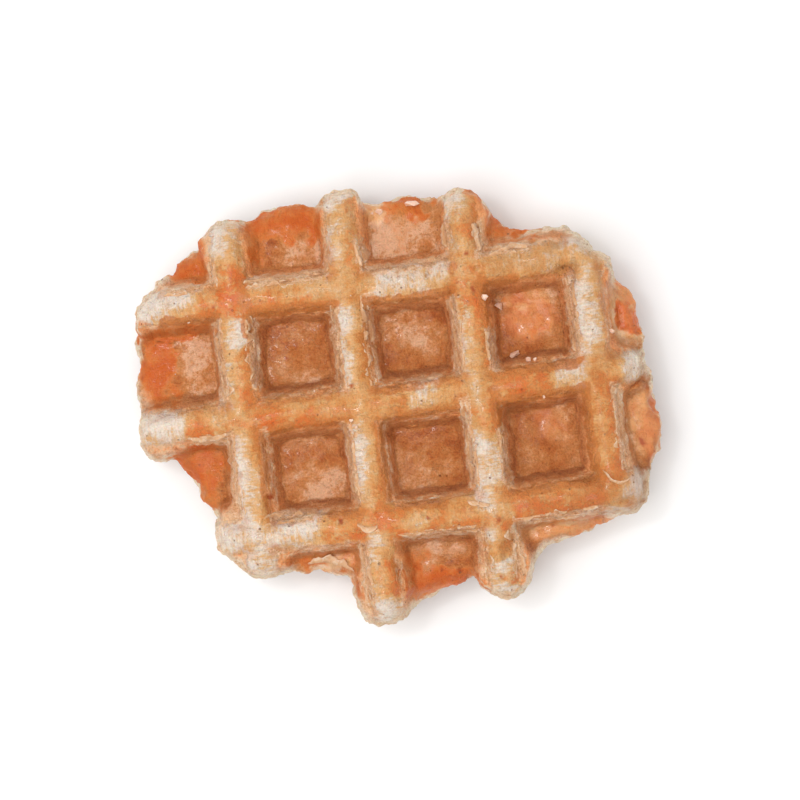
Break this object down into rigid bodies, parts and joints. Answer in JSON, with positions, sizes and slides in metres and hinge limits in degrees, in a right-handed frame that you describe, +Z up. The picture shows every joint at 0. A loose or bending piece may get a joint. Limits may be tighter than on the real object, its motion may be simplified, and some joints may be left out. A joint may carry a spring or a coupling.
{
  "type": "liege waffle",
  "caption": "Thick oval Liege waffle with a grid of deep square pockets in both faces, browned ribs and ragged pale edges.",
  "frame": {"origin": "centre of the box round the waffle, on the plane of the lower crests that it rests on", "axes": "+Z up out of the upper face, +X along the rows of pockets to the right, +Y along the columns to the back"},
  "size_m": [0.1062, 0.089, 0.023],
  "materials": {
    "crust": null
  },
  "bodies": {
    "root": {"waffle": "crust"}
  },
  "joints": []
}
